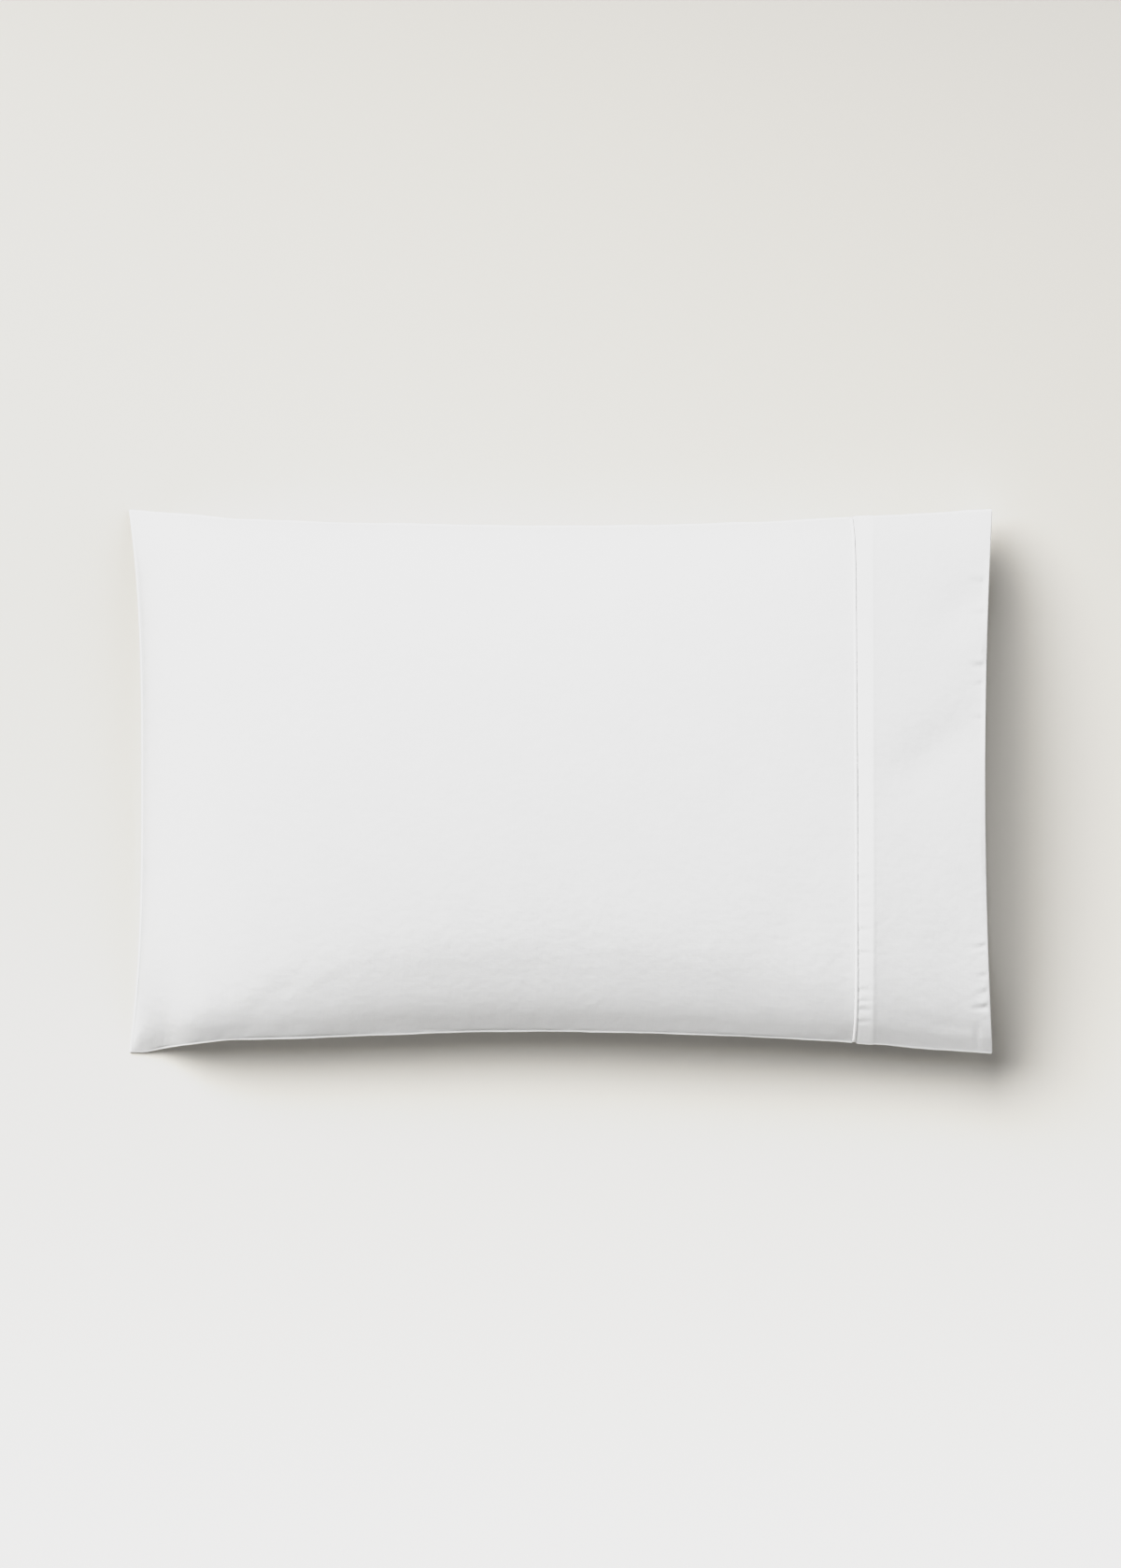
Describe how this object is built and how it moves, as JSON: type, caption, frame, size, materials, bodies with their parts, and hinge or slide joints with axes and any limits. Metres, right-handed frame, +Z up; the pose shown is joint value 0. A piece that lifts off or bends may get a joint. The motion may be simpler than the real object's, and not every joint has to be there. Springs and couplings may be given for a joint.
{
  "type": "pillowcase",
  "caption": "Plump white cotton pillowcase lying flat, with a deep cuff at its open end and a piped seam between cuff and bag.",
  "frame": {"origin": "centre of the footprint, on the surface that the case lies on", "axes": "+X from the closed end to the open mouth, +Y across the case, +Z up, out of its upper face"},
  "size_m": [0.785, 0.495, 0.115],
  "materials": {
    "cotton_body": "plain-woven white cotton, matte",
    "cotton_cuff": "plain-woven white cotton, two layers, matte",
    "cotton_piping": "white cotton piping, matte"
  },
  "bodies": {
    "root": {"case_body": "cotton_body", "cuff": "cotton_cuff", "piping": "cotton_piping"}
  },
  "joints": []
}
